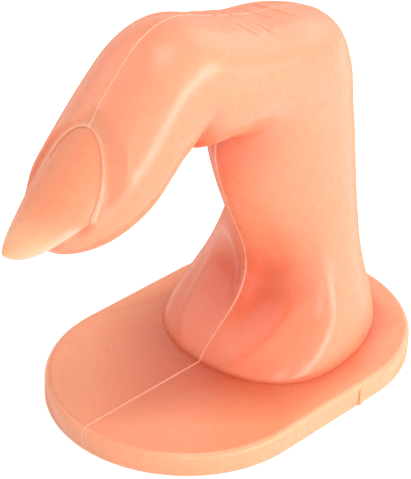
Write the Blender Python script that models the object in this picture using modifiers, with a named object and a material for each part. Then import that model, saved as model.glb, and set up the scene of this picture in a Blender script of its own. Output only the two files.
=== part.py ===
"""Nail practice finger: a bent finger on an oblong foot plate, with a slide-in nail tip.

The plate and the finger are one soft vinyl moulding. The nail tip is a curved shell that pushes
into a slot under the cuticle fold and stays there by friction. Units are metres, +Z is up. The
origin is the middle of the plate's underside, the finger points along -Y, and X = 0 is the plane
in which the two halves of the mould met.
"""
import math

import bmesh
import bpy
from mathutils import Matrix, Vector

# Foot plate
PLATE_LENGTH = 0.072
PLATE_WIDTH = 0.048
PLATE_THICKNESS = 0.0043
PLATE_EDGE_RADIUS = 0.0011

# Stub of the moulding gate, a thin upright rib on the plate's side
GATE_WIDTH = 0.0008
GATE_STAND = 0.0003
GATE_OFFSET = 0.0075

# Finger, from the plate's top to the bent knuckle and forward to the fingertip
FINGER_HEIGHT = 0.0741
FINGER_REACH = 0.0464
FINGER_WIDTH = 0.021
ROOT_DEPTH = 0.0018

# Creases of the skin
WRINKLE_DEPTH = 0.0004
WRINKLE_WIDTH = 0.0009
HOLLOW_DEPTH = 0.0019
HOLLOW_WIDTH = 0.0034
HOLLOW_HEIGHT = 0.0054
BEND_CREASE_DEPTH = 0.0006
BEND_CREASE_WIDTH = 0.0016

# Nail tip, and the slot that holds it
NAIL_WIDTH = 0.0134
NAIL_ARCH = 0.00465
NAIL_THICKNESS = 0.0007
NAIL_BED_LENGTH = 0.0124
NAIL_FREE_LENGTH = 0.0111
NAIL_TUCK = 0.0034
NAIL_SINK = 0.0004
SLOT_CLEARANCE = 0.0003
CUT_OVERRUN = 0.004
WELD_DISTANCE = 0.00001

# Flesh round the nail: its lip over the nail, the fold that stands fuller beside the end of the
# nail bed, and the pad that drops away under the free edge
NAIL_LIP = 0.0006
FOLD_WIDTH = 0.0018
FOLD_RISE = 0.0009
FOLD_RISE_PLACE = 0.0015
FOLD_RISE_WIDTH = 0.0016
FOLD_RISE_START = 0.004
FOLD_RISE_LENGTH = 0.006
PAD_DROP_LENGTH = 0.0015
PAD_DROP_WIDTH = 0.0022

# Sections of the finger from the plate up over the knuckle to the fingertip. Each row gives the
# back of the finger (y, z), its palm side (y, z), half its width, where it is widest between the
# palm side (0) and the back (1), and how full the palm half and the back half are. The places are
# shares of FINGER_REACH and of the rise from the plate's top to the knuckle, and the widths are
# shares of half of FINGER_WIDTH.
SECTION_SHARES = (
    (0.667, 0.000, -0.179, 0.000, 1.72, 0.39, 0.15, 0.00),
    (0.655, 0.046, -0.120, 0.044, 1.67, 0.36, 0.07, 0.00),
    (0.628, 0.103, -0.030, 0.099, 1.58, 0.34, -0.14, 0.00),
    (0.596, 0.162, 0.032, 0.150, 1.46, 0.34, -0.42, 0.00),
    (0.575, 0.231, 0.061, 0.218, 1.31, 0.36, -0.58, 0.00),
    (0.570, 0.317, 0.038, 0.294, 1.15, 0.42, -0.56, 0.00),
    (0.566, 0.411, -0.024, 0.383, 1.03, 0.48, -0.46, 0.00),
    (0.551, 0.517, -0.087, 0.483, 0.96, 0.52, -0.34, 0.05),
    (0.526, 0.625, -0.127, 0.569, 0.93, 0.52, -0.24, 0.10),
    (0.493, 0.738, -0.135, 0.625, 0.95, 0.50, -0.16, 0.12),
    (0.405, 0.843, -0.160, 0.652, 0.99, 0.50, -0.06, 0.12),
    (0.220, 0.901, -0.230, 0.664, 1.01, 0.50, -0.02, 0.12),
    (0.016, 0.929, -0.300, 0.666, 1.03, 0.50, -0.01, 0.11),
    (-0.182, 0.960, -0.355, 0.664, 1.00, 0.50, -0.03, 0.10),
    (-0.367, 0.998, -0.402, 0.659, 0.96, 0.50, -0.06, 0.08),
    (-0.517, 0.977, -0.448, 0.645, 0.96, 0.50, -0.08, 0.06),
    (-0.637, 0.908, -0.504, 0.617, 0.99, 0.50, -0.10, 0.05),
    (-0.757, 0.823, -0.576, 0.581, 1.00, 0.50, -0.11, 0.05),
    (-0.852, 0.766, -0.658, 0.550, 0.92, 0.50, -0.10, 0.05),
    (-0.930, 0.708, -0.752, 0.531, 0.77, 0.50, -0.10, 0.05),
    (-0.982, 0.650, -0.845, 0.532, 0.56, 0.50, -0.08, 0.05),
    (-0.996, 0.609, -0.914, 0.543, 0.36, 0.50, -0.05, 0.05),
    (-0.988, 0.580, -0.945, 0.554, 0.19, 0.50, -0.03, 0.03),
    (-0.977, 0.570, -0.959, 0.560, 0.07, 0.50, 0.00, 0.00),
)

# Across the back of the knuckle: how far forward each wrinkle lies, and its share of the depth
WRINKLE_SHARES = ((-0.170, 1.0), (-0.088, 0.9), (0.020, 0.4), (0.105, 0.5))
# Middle of the hollow on each side of the foot's front ridge: across, forward and up
HOLLOW_SHARES = (0.42, 0.070, 0.155)
# Ends of the crease inside the bend, on the palm side and on the flank: across, forward and up
BEND_CREASE_SHARES = ((0.0, -0.140, 0.633), (1.0, 0.022, 0.726))
# Middle of the cuticle's lip and the far end of the nail: forward and up
CUTICLE_SHARES = (-0.7586, 0.8166)
NAIL_END_SHARES = (-1.1207, 0.5974)
# The free edge narrows by this share before its end rounds off, the later the higher the power
NAIL_TAPER_SHARE = 0.57
TIP_POWER = 6
# Half width of the nail at its hidden rear end, and how far forward its rear corners reach
NAIL_REAR_SHARE = 0.55
NAIL_CORNER_SHARE = 0.30
LIP_ROUND_SHARE = 0.50
# Sections of the cutters: along the nail's rear corners, its free edge and its visible bed
SLOT_CORNER_SHARES = (0, 0.03, 0.1, 0.2, 0.35, 0.6, 1)
SLOT_FREE_SHARES = (0, 0.08, 0.3, 0.5)
WINDOW_SHARES = (0.01, 0.05, 0.12, 0.22, 0.34, 0.48, 0.64, 0.8, 1)

# How finely the pieces are drawn
SECTION_STEPS = 2
NAIL_STEPS = 5
AROUND = 60
BACK_DENSER_SHARE = 0.35
WRINKLE_FADE_POWER = 1.5
PLATE_CORNER_STEPS = 16
PLATE_EDGE_STEPS = 4
NAIL_COLUMNS = 14
NAIL_ROWS = 9
NAIL_DENSER_POWER = 1.5
NAIL_LAST_ROW_SHARE = 0.998
PLACE_TOLERANCE = 0.001
SHARP_ANGLE = math.radians(40)

VINYL_COLOR = (0.92, 0.36, 0.20)
VINYL_ROUGHNESS = 0.32
PLASTIC_COLOR = (0.93, 0.52, 0.33)
PLASTIC_ROUGHNESS = 0.25

COLLECTION = "nail_practice_finger"


def smooth_step(value):
    value = min(1, max(0, value))
    return value * value * (3 - 2 * value)


def bump(distance, width):
    return math.exp(-(distance / width) ** 2)


def finger_place(across_share, forward_share, up_share):
    """A point of the finger from its shares of half the width, the reach and the rise."""
    rise = FINGER_HEIGHT - PLATE_THICKNESS
    return Vector((across_share * FINGER_WIDTH / 2, forward_share * FINGER_REACH,
                   PLATE_THICKNESS + up_share * rise))


def section_at(place):
    """Row of SECTION_SHARES at a place between two rows, on a curve through all of them."""
    last = len(SECTION_SHARES) - 1
    first = min(int(place), last - 1)
    t = place - first
    before, here, there, after = (
        SECTION_SHARES[min(last, max(0, first + step))] for step in (-1, 0, 1, 2))
    return [
        (2 * b + (c - a) * t + (2 * a - 5 * b + 4 * c - d) * t * t
         + (3 * b - a - 3 * c + d) * t ** 3) / 2
        for a, b, c, d in zip(before, here, there, after)]


def place_of_back(forward_share):
    """Place along the sections, over the knuckle, where the back is that far forward."""
    low, high = 0, len(SECTION_SHARES) - 4
    while high - low > PLACE_TOLERANCE:
        middle = (low + high) / 2
        if section_at(middle)[0] > forward_share:
            low = middle
        else:
            high = middle
    return low


def nail_frame():
    """Matrix of the nail's own axes: X across, Y forward along the slot, Z out of the plate."""
    root = finger_place(0, *CUTICLE_SHARES)
    end = finger_place(0, *NAIL_END_SHARES)
    slope = (end - root).normalized()
    root -= Vector((0, slope.z, -slope.y)) * NAIL_SINK
    along = (end - root).normalized()
    out = Vector((0, along.z, -along.y))
    frame = Matrix((along.cross(out), along, out)).transposed().to_4x4()
    frame.translation = root
    return frame


def nail_radius():
    half = NAIL_WIDTH / 2
    return (half ** 2 + NAIL_ARCH ** 2) / (2 * NAIL_ARCH)


def lip_half_width(forward):
    """Half width of the U that the cuticle and the side folds leave open over the nail."""
    left = 1 - min(1, max(0, forward / NAIL_BED_LENGTH))
    return NAIL_WIDTH / 2 * (1 - left ** 2) ** LIP_ROUND_SHARE


def plate_half_width(forward):
    """Half width of the nail itself, from its hidden rear end to the start of the free edge."""
    corner = NAIL_CORNER_SHARE * (NAIL_BED_LENGTH + NAIL_TUCK)
    u = min(1, max(0, (forward + NAIL_TUCK) / corner))
    grow = math.sqrt(1 - (1 - u) ** 2)
    return NAIL_WIDTH / 2 * (NAIL_REAR_SHARE + (1 - NAIL_REAR_SHARE) * grow)


def free_half_width(share):
    """Half width of the free edge, from its start (0) to its rounded end (1)."""
    return NAIL_WIDTH / 2 * (1 - NAIL_TAPER_SHARE * share) * math.sqrt(1 - share ** TIP_POWER)


def reach_of(half_width):
    """Angle at which the nail's outer arc is that far from the middle."""
    return math.asin(min(1, half_width / nail_radius()))


def with_wrinkles(point, angle, forward_share):
    """Sinks the wrinkles of the bent knuckle into the back of the finger."""
    facing_back = max(0, -math.cos(angle)) ** WRINKLE_FADE_POWER
    depth = sum(
        share * bump((forward_share - place) * FINGER_REACH, WRINKLE_WIDTH)
        for place, share in WRINKLE_SHARES)
    return point - Vector((0, 0, WRINKLE_DEPTH * depth * facing_back))


def with_hollows(point):
    """Sinks the two hollows beside the ridge on the front of the foot."""
    middle = finger_place(*HOLLOW_SHARES)
    near = bump(abs(point.x) - middle.x, HOLLOW_WIDTH) * bump(point.z - middle.z, HOLLOW_HEIGHT)
    facing_front = smooth_step((middle.y + 2 * HOLLOW_HEIGHT - point.y) / HOLLOW_HEIGHT)
    side = max(-1, min(1, point.x / HOLLOW_WIDTH))
    inward = Vector((-side, 1, 0)).normalized()
    return point + inward * HOLLOW_DEPTH * near * facing_front


def with_bend_crease(point, middle):
    """Presses the crease inside the bend, which runs from the palm side up each flank."""
    low, high = (finger_place(*shares) for shares in BEND_CREASE_SHARES)
    mirrored = Vector((abs(point.x), point.y, point.z))
    run = high - low
    share = min(1, max(0, (mirrored - low).dot(run) / run.length_squared))
    near = bump((mirrored - low - run * share).length, BEND_CREASE_WIDTH)
    fade = 1 - smooth_step(share)
    inward = (middle - point).normalized()
    return point + inward * BEND_CREASE_DEPTH * near * fade


def side_fold_rise(forward, away):
    """How far the fold beside the nail stands up, most of all where the free edge starts."""
    grown = smooth_step((forward - FOLD_RISE_START) / FOLD_RISE_LENGTH)
    ended = smooth_step((forward - NAIL_BED_LENGTH) / PAD_DROP_LENGTH)
    return FOLD_RISE * bump(away - FOLD_RISE_PLACE, FOLD_RISE_WIDTH) * grown * (1 - ended)


def with_pad_drop(stand, forward, turn, near):
    """Lets the fingertip's pad drop away under the nail's free edge."""
    share = min(1, max(0, (forward - NAIL_BED_LENGTH) / NAIL_FREE_LENGTH))
    drop = smooth_step((forward - NAIL_BED_LENGTH + PAD_DROP_LENGTH) / (2 * PAD_DROP_LENGTH))
    beyond = nail_radius() * (turn - reach_of(NAIL_WIDTH / 2))
    beside = 1 - smooth_step(beyond / PAD_DROP_WIDTH)
    tighter = nail_radius() * (1 - free_half_width(share) / (NAIL_WIDTH / 2))
    under = -NAIL_THICKNESS - 2 * SLOT_CLEARANCE - tighter * (1 - math.cos(turn))
    return stand + min(0, under - stand) * drop * beside * near


def with_nail_folds(point, angle, frame, to_nail):
    """Shapes the flesh round the nail: a lip just above the nail's arch, then a fuller fold."""
    local = to_nail @ point
    radius = nail_radius()
    turn = math.atan2(local.x, local.z + radius)
    out = math.hypot(local.x, local.z + radius)
    away = max(0, radius * (abs(turn) - reach_of(lip_half_width(local.y))))
    near = smooth_step(1 + local.y / NAIL_TUCK) * smooth_step(-2 * math.cos(angle))
    on_bed = near * (1 - smooth_step((local.y - NAIL_BED_LENGTH) / PAD_DROP_LENGTH))
    natural = out - radius + side_fold_rise(local.y, away) * near
    stand = natural + (NAIL_LIP - natural) * bump(away, FOLD_WIDTH) * on_bed
    out = radius + with_pad_drop(stand, local.y, abs(turn), near)
    return frame @ Vector((out * math.sin(turn), local.y, out * math.cos(turn) - radius))


def finger_ring(place):
    """Points round the finger at a place along its sections, starting on the palm side."""
    back_y, back_z, palm_y, palm_z, half_share, widest, palm_full, back_full = section_at(place)
    back = finger_place(0, back_y, back_z)
    palm = finger_place(0, palm_y, palm_z)
    middle = palm.lerp(back, widest)
    frame = nail_frame()
    to_nail = frame.inverted()
    ring = []
    for step in range(AROUND):
        turn = 2 * math.pi * step / AROUND
        angle = turn + BACK_DENSER_SHARE * math.sin(turn)
        cosine, sine = math.cos(angle), math.sin(angle)
        full = palm_full if cosine > 0 else back_full
        toward = palm if cosine > 0 else back
        point = middle.lerp(toward, abs(cosine))
        point.x = half_share * FINGER_WIDTH / 2 * sine * (1 + full * cosine ** 2)
        point = with_wrinkles(point, angle, back_y)
        point = with_hollows(point)
        point = with_bend_crease(point, middle)
        point = with_nail_folds(point, angle, frame, to_nail)
        ring.append(point)
    return ring


def loft(name, rings, collection):
    """Closed skin over rings that all have the same number of points."""
    bm = bmesh.new()
    loops = [[bm.verts.new(point) for point in ring] for ring in rings]
    for lower, upper in zip(loops, loops[1:]):
        for i in range(len(lower)):
            j = (i + 1) % len(lower)
            bm.faces.new((lower[i], lower[j], upper[j], upper[i]))
    bm.faces.new(reversed(loops[0]))
    bm.faces.new(loops[-1])
    bmesh.ops.recalc_face_normals(bm, faces=bm.faces)
    return finish_mesh(name, bm, collection)


def finish_mesh(name, bm, collection):
    mesh = bpy.data.meshes.new(name)
    bm.to_mesh(mesh)
    bm.free()
    piece = bpy.data.objects.new(name, mesh)
    collection.objects.link(piece)
    return piece


def boolean(piece, other, operation):
    step = piece.modifiers.new(f"{operation.lower()}_{other.name}", "BOOLEAN")
    step.operation = operation
    step.object = other
    step.solver = "EXACT"


def hide_as_tool(tool):
    tool.hide_render = True
    tool.display_type = "WIRE"


def material(name, color, roughness):
    made = bpy.data.materials.new(name)
    made.use_nodes = True
    shader = made.node_tree.nodes["Principled BSDF"]
    shader.inputs["Base Color"].default_value = (*color, 1)
    shader.inputs["Roughness"].default_value = roughness
    shader.inputs["Metallic"].default_value = 0
    return made


def make_plate(tools):
    """Oblong plate with half-round ends and a rounded top edge."""
    bm = bmesh.new()
    bmesh.ops.create_cube(bm, size=1)
    bmesh.ops.scale(bm, verts=bm.verts, vec=(PLATE_WIDTH, PLATE_LENGTH, PLATE_THICKNESS))
    bmesh.ops.translate(bm, verts=bm.verts, vec=(0, 0, PLATE_THICKNESS / 2))
    upright = [e for e in bm.edges if e.verts[0].co.xy == e.verts[1].co.xy]
    bmesh.ops.bevel(bm, geom=upright, offset=PLATE_WIDTH / 2, segments=PLATE_CORNER_STEPS,
                    profile=0.5, clamp_overlap=True, affect="EDGES", material=-1)
    bmesh.ops.remove_doubles(bm, verts=bm.verts, dist=WELD_DISTANCE)
    rim = [e for e in bm.edges if all(v.co.z > PLATE_THICKNESS / 2 for v in e.verts)]
    bmesh.ops.bevel(bm, geom=rim, offset=PLATE_EDGE_RADIUS, segments=PLATE_EDGE_STEPS,
                    profile=0.5, affect="EDGES", material=-1)
    bmesh.ops.recalc_face_normals(bm, faces=bm.faces)
    return finish_mesh("plate_outline", bm, tools)


def make_gate(tools):
    """Thin upright rib left on the plate's side where the moulding gate was cut off."""
    height = PLATE_THICKNESS - PLATE_EDGE_RADIUS
    bm = bmesh.new()
    bmesh.ops.create_cube(bm, size=1)
    bmesh.ops.scale(bm, verts=bm.verts, vec=(2 * GATE_STAND, GATE_WIDTH, height))
    bmesh.ops.translate(bm, verts=bm.verts, vec=(PLATE_WIDTH / 2, GATE_OFFSET, height / 2))
    return finish_mesh("gate_stub", bm, tools)


def arc_points(reach, radius, ridge):
    """Points across the nail on an arc of that radius, out to an angle on both sides."""
    angles = (reach * (2 * i / NAIL_COLUMNS - 1) for i in range(NAIL_COLUMNS + 1))
    return [(radius * math.sin(a), ridge - radius * (1 - math.cos(a))) for a in angles]


def shell_ring(frame, forward, top, low):
    """Closed ring across the nail, from its upper arc of points and its lower one."""
    return [frame @ Vector((x, forward, z)) for x, z in top + low[::-1]]


def make_slot_cutter(frame, tools):
    """The nail grown by the clearance, with room for its tongue and tighter free edge to slide."""
    radius = nail_radius()
    gap = NAIL_THICKNESS + SLOT_CLEARANCE
    aside = SLOT_CLEARANCE / (radius - gap)
    corner = NAIL_CORNER_SHARE * (NAIL_BED_LENGTH + NAIL_TUCK)
    sections = []
    for share in SLOT_CORNER_SHARES:
        forward = share * corner - NAIL_TUCK
        reach = reach_of(plate_half_width(forward))
        sections.append((forward - SLOT_CLEARANCE, reach, radius - gap))
    for share in SLOT_FREE_SHARES:
        forward = NAIL_BED_LENGTH + share * NAIL_FREE_LENGTH
        tight = radius * free_half_width(share) / (NAIL_WIDTH / 2) - gap
        sections.append((forward, reach, tight))
    sections.append((NAIL_BED_LENGTH + NAIL_FREE_LENGTH, reach, tight))
    rings = []
    for forward, reach, inner in sections:
        top = arc_points(reach + aside, radius + SLOT_CLEARANCE, SLOT_CLEARANCE)
        sides = arc_points(reach + aside, radius - gap, -gap)
        low = [sides[0]] + arc_points(reach, inner, -gap) + [sides[-1]]
        rings.append(shell_ring(frame, forward, top, low))
    return loft("nail_slot", rings, tools)


def make_window_cutter(frame, tools):
    """The open U over the nail: all that stands above the plate inside its visible outline."""
    stations = [NAIL_BED_LENGTH * share for share in WINDOW_SHARES]
    stations.append(NAIL_BED_LENGTH + NAIL_FREE_LENGTH)
    lift = SLOT_CLEARANCE / 2
    rings = []
    for forward in stations:
        low = arc_points(reach_of(lip_half_width(forward)), nail_radius() + lift, lift)
        high = [(x, CUT_OVERRUN) for x, z in low]
        rings.append(shell_ring(frame, forward, low, high))
    return loft("nail_window", rings, tools)


def ring_places():
    """Places of the finger's rings: closer together at the wrinkles and round the nail."""
    last = len(SECTION_SHARES) - 1
    nail_start = int(place_of_back(CUTICLE_SHARES[0])) - 1
    places = {last}
    for row in range(last):
        steps = NAIL_STEPS if row >= nail_start else SECTION_STEPS
        places.update(row + step / steps for step in range(steps))
    width_share = WRINKLE_WIDTH / FINGER_REACH
    for forward_share, _ in WRINKLE_SHARES:
        for side in (-1, 0, 1):
            places.add(place_of_back(forward_share + side * width_share))
    return sorted(places)


def make_finger_body(frame, vinyl, parts, tools):
    """The whole vinyl moulding: finger, foot and plate in one piece, with the nail's slot."""
    rings = [finger_ring(place) for place in ring_places()]
    root = [point - Vector((0, 0, ROOT_DEPTH)) for point in rings[0]]
    body = loft("finger_body", [root] + rings, parts)
    plate = make_plate(tools)
    gate = make_gate(tools)
    slot = make_slot_cutter(frame, tools)
    window = make_window_cutter(frame, tools)
    for tool in (plate, gate, slot, window):
        hide_as_tool(tool)
    boolean(body, plate, "UNION")
    boolean(body, gate, "UNION")
    boolean(body, slot, "DIFFERENCE")
    boolean(body, window, "DIFFERENCE")
    body.data.materials.append(vinyl)
    body.data.shade_smooth()
    body.data.set_sharp_from_angle(angle=SHARP_ANGLE)
    return body


def nail_rows():
    """Rows of the nail's outer face from rear to tip: how far forward, and points across."""
    rows = []
    bed = NAIL_BED_LENGTH + NAIL_TUCK
    for step in range(NAIL_ROWS):
        forward = -NAIL_TUCK + bed * (step / (NAIL_ROWS - 1)) ** NAIL_DENSER_POWER
        reach = reach_of(plate_half_width(forward))
        rows.append((forward, arc_points(reach, nail_radius(), 0)))
    for step in range(1, NAIL_ROWS + 1):
        share = math.sin(math.pi / 2 * step / NAIL_ROWS) * NAIL_LAST_ROW_SHARE
        radius = nail_radius() * free_half_width(share) / (NAIL_WIDTH / 2)
        forward = NAIL_BED_LENGTH + NAIL_FREE_LENGTH * share
        rows.append((forward, arc_points(reach, radius, 0)))
    return rows


def make_nail_tip(frame, plastic, parts):
    """Curved shell: a straight tongue that fits the slot, and a free edge that tapers."""
    bm = bmesh.new()
    grid = [[bm.verts.new(frame @ Vector((x, forward, z))) for x, z in arc]
            for forward, arc in nail_rows()]
    for near, far in zip(grid, grid[1:]):
        for i in range(NAIL_COLUMNS):
            bm.faces.new((near[i], near[i + 1], far[i + 1], far[i]))
    bmesh.ops.recalc_face_normals(bm, faces=bm.faces)
    nail = finish_mesh("nail_tip", bm, parts)
    nail.data.materials.append(plastic)
    nail.data.shade_smooth()
    wall = nail.modifiers.new("wall", "SOLIDIFY")
    wall.thickness = NAIL_THICKNESS
    wall.offset = -1
    return nail


def clear_scene():
    for old in list(bpy.data.objects):
        bpy.data.objects.remove(old, do_unlink=True)


def new_collection(name):
    made = bpy.data.collections.new(name)
    bpy.context.scene.collection.children.link(made)
    return made


def main():
    clear_scene()
    parts = new_collection(COLLECTION)
    tools = new_collection("shaping_tools")
    vinyl = material("soft_vinyl_skin", VINYL_COLOR, VINYL_ROUGHNESS)
    plastic = material("clear_nail_plastic", PLASTIC_COLOR, PLASTIC_ROUGHNESS)
    frame = nail_frame()
    make_finger_body(frame, vinyl, parts, tools)
    make_nail_tip(frame, plastic, parts)


main()
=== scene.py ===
import math

import bmesh
import bpy
from mathutils import Matrix, Vector


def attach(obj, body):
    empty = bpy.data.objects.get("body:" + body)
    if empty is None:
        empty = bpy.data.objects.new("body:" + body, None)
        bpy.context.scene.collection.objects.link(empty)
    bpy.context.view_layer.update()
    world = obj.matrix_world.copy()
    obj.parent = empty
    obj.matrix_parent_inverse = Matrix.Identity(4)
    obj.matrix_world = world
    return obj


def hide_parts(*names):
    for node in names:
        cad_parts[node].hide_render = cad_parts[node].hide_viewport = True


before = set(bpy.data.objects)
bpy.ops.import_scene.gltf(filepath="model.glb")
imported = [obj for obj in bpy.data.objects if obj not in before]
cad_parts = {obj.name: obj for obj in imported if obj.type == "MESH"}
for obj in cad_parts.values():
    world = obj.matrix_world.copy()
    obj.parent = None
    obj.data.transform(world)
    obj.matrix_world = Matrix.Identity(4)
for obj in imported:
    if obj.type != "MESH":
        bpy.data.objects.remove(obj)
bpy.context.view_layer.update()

# Looks of the nail practice finger: the moulded finger on its plate, and the nail tip in its slot.
# Units are metres, +Z is up, the finger points along -Y and the mould parted in the plane X = 0.
MM = 0.001

# Foot plate
PLATE_LENGTH = 72 * MM
PLATE_WIDTH = 48 * MM
PLATE_THICKNESS = 4.3 * MM
PLATE_FILLET = 1.1 * MM
PLATE_LOWER_FILLET = 0.2 * MM
PLATE_FACE_INSET = 0.25 * MM
PLATE_CORNER_STEPS = 64
PLATE_FILLET_STEPS = 6
PLATE_LOWER_FILLET_STEPS = 2
FLAT_NORMAL = 0.99

# Stub of the moulding gate on the plate's side
GATE_WIDTH = 0.8 * MM
GATE_STAND = 0.3 * MM
GATE_OFFSET = 7.5 * MM
GATE_FILLET = 0.1 * MM
GATE_FILLET_STEPS = 3

# Finger
FINGER_HEIGHT = 74.1 * MM
FINGER_REACH = 46.4 * MM
FINGER_WIDTH = 21 * MM
ROOT_DEPTH = 1.8 * MM
ROOT_TUCK = 0.35 * MM
ROOT_TUCK_HEIGHT = 0.9 * MM

# Line of flash where the two halves of the mould met
FLASH_WIDTH = 0.18 * MM
FLASH_STAND = 0.11 * MM
FLASH_TINT_WIDTH = 1.6 * FLASH_WIDTH
FLASH_CROWDING_SHARE = 0.7

# Creases of the skin. The hollow's rim is placed in widths and heights of the hollow.
WRINKLE_DEPTH = 0.45 * MM
WRINKLE_WIDTH = 0.34 * MM
WRINKLE_RIM = 0.16 * MM
WRINKLE_REACH = 4 * MM
WRINKLE_FADE = 3 * MM
WRINKLE_TURN = WRINKLE_REACH / 4
WRINKLE_FACING_POWER = 1.5
HOLLOW_DEPTH = 1.7 * MM
HOLLOW_WIDTH = 3.3 * MM
HOLLOW_HEIGHT = 5.2 * MM
HOLLOW_RIM = 0.7 * MM
HOLLOW_RIM_PLACE = 1.6
HOLLOW_RIM_WIDTH = 0.5
BEND_CREASE_DEPTH = 0.75 * MM
BEND_CREASE_WIDTH = 1.2 * MM
JOINT_CREASE_DEPTH = 2 * MM
JOINT_CREASE_WIDTH = 1.6 * MM

# Painted shade: how much darker the vinyl is coloured where shade falls, and how far round each;
# WRINKLE_GLOW paints highlights on the wrinkles' rims and the PLATE_LIT values paint light on the
# plate's left side
WRINKLE_SHADE = 0.65
WRINKLE_GLOW = 0.6
HOLLOW_SHADE = 0.7
HOLLOW_SHADE_REACH = 7.5 * MM
BEND_SHADE = 0.8
BEND_SHADE_REACH = 9.5 * MM
JOINT_SHADE = 0.5
JOINT_SHADE_REACH = 3.5 * MM
ROOT_SHADE = 0.6
ROOT_SHADE_REACH = 2.4 * MM
FOOT_SHADE = 0.7
FOOT_SHADE_HEIGHT = 12 * MM
PLATE_SHADE_REACH = 24 * MM
PLATE_SHADE_LEAN = 0.45
PLATE_RIM = 3.5 * MM
PLATE_LIT_SHARE = 0.5
PLATE_LIT_START = 2 * MM
PLATE_LIT_LENGTH = 12 * MM
PLATE_COLOR_HEIGHT = 1.2 * MM

# Nail tip, the folds round it and the slot that holds it
NAIL_WIDTH = 13.4 * MM
NAIL_ARCH = 4.65 * MM
NAIL_THICKNESS = 0.7 * MM
NAIL_BED_LENGTH = 12.4 * MM
NAIL_FREE_LENGTH = 11.1 * MM
NAIL_TUCK = 3.4 * MM
NAIL_SINK = 0.4 * MM
NAIL_EDGE_ROUND = 0.22 * MM
NAIL_EDGE_STEPS = 4
NAIL_GLOW_REACH = 0.45 * MM
NAIL_GLOW_GROWTH = 4
LIP_STAND = 0.15 * MM
LIP_BEAD = 0.15 * MM
LIP_BEAD_WIDTH = 0.2 * MM
LIP_GROOVE_STAND = 0.22 * MM
LIP_GROOVE_SHADE = 0.1
LIP_GROOVE_SHADE_LENGTH = 7 * MM
FOLD_WIDTH = 3.6 * MM
FOLD_RISE = 0.1 * MM
FOLD_RISE_PLACE = 1.5 * MM
FOLD_RISE_WIDTH = 1.6 * MM
FOLD_RISE_START = 5 * MM
FOLD_RISE_LENGTH = 7 * MM
# On the side away from the gate stub the lip is lower and runs on further, beside a fuller fold
FAR_LIP_SHARE = 0.4
FAR_LIP_LENGTH = 1.8 * MM
FAR_FOLD_WIDTH = 1.1 * MM
FAR_FOLD_RISE = 1 * MM
FAR_GROOVE_SHADE = 0.6
PAD_DROP_LENGTH = 0.8 * MM
PAD_DROP_WIDTH = 2.2 * MM
SLOT_CLEARANCE = 0.04 * MM
SLOT_SIDE_CLEARANCE = 0.15 * MM
SLOT_FLOOR_CLEARANCE = 0.3 * MM
CUT_OVERRUN = 4 * MM
WELD_DISTANCE = 0.005 * MM
FINE_WELD_DISTANCE = WELD_DISTANCE / 10
SHARP_ANGLE = math.radians(50)

# Sections of the finger from the plate up over the knuckle to the fingertip. Each row gives the
# back of the finger (y, z), its palm side (y, z), half its width, where it is widest between the
# palm side (0) and the back (1), and how full the palm half and the back half are. The places are
# shares of FINGER_REACH and of the rise from the plate's top to the knuckle, and the widths are
# shares of half of FINGER_WIDTH.
SECTION_SHARES = (
    (0.667, 0.000, -0.179, 0.000, 1.72, 0.39, 0.15, 0.00),
    (0.655, 0.046, -0.120, 0.044, 1.67, 0.36, 0.07, 0.00),
    (0.628, 0.103, -0.030, 0.099, 1.58, 0.34, -0.14, 0.00),
    (0.596, 0.162, 0.032, 0.150, 1.46, 0.34, -0.42, 0.00),
    (0.575, 0.231, 0.061, 0.218, 1.31, 0.36, -0.58, 0.00),
    (0.570, 0.317, 0.038, 0.294, 1.15, 0.42, -0.56, 0.00),
    (0.566, 0.411, -0.024, 0.383, 1.03, 0.48, -0.46, 0.00),
    (0.551, 0.517, -0.087, 0.483, 0.96, 0.52, -0.34, 0.05),
    (0.526, 0.625, -0.127, 0.569, 0.93, 0.52, -0.24, 0.10),
    (0.493, 0.738, -0.135, 0.625, 0.95, 0.50, -0.16, 0.12),
    (0.405, 0.843, -0.160, 0.652, 0.99, 0.50, -0.06, 0.12),
    (0.220, 0.901, -0.230, 0.664, 1.01, 0.50, -0.02, 0.12),
    (0.016, 0.924, -0.300, 0.666, 1.03, 0.50, -0.01, 0.11),
    (-0.182, 0.960, -0.355, 0.664, 1.00, 0.50, -0.03, 0.10),
    (-0.367, 0.998, -0.402, 0.659, 0.96, 0.50, -0.06, 0.08),
    (-0.517, 0.977, -0.448, 0.645, 0.96, 0.50, -0.08, 0.06),
    (-0.637, 0.908, -0.504, 0.617, 0.99, 0.50, -0.10, 0.05),
    (-0.757, 0.823, -0.576, 0.581, 1.00, 0.50, -0.11, 0.05),
    (-0.852, 0.766, -0.658, 0.550, 0.92, 0.50, -0.10, 0.05),
    (-0.930, 0.708, -0.752, 0.531, 0.77, 0.50, -0.10, 0.05),
    (-0.982, 0.650, -0.845, 0.532, 0.56, 0.50, -0.08, 0.05),
    (-0.996, 0.609, -0.914, 0.543, 0.36, 0.50, -0.05, 0.05),
    (-0.988, 0.580, -0.945, 0.554, 0.19, 0.50, -0.03, 0.03),
    (-0.977, 0.570, -0.959, 0.560, 0.07, 0.50, 0.00, 0.00),
)
# Across the back of the knuckle: how far forward each wrinkle lies, and its shares of the depth
# and of the reach down the flank
WRINKLE_SHARES = ((-0.170, 1.0, 1.0), (-0.088, 0.9, 1.0), (0.020, 0.4, 0.3), (0.105, 0.5, 0.5))
# How far back the wrinkles run for each step that they go down the gate stub's flank
WRINKLE_SLANT_SHARE = 0.72
# Middle of the hollow on each side of the foot's front ridge, then the middle of the painted shade
# in it: across, forward and up
HOLLOW_SHARES = (0.42, 0.070, 0.155)
HOLLOW_SHADE_SHARES = (0.30, 0.070, 0.160)
# Ends of the crease inside the bend, on the palm side and on the flank: across, forward and up
BEND_CREASE_SHARES = ((0.0, -0.140, 0.633), (1.0, 0.022, 0.726))
# Ends of the crease under the end joint, from the palm side up both flanks
JOINT_CREASE_SHARES = ((0.0, -0.384, 0.655), (0.0, -0.372, 0.855))
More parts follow.
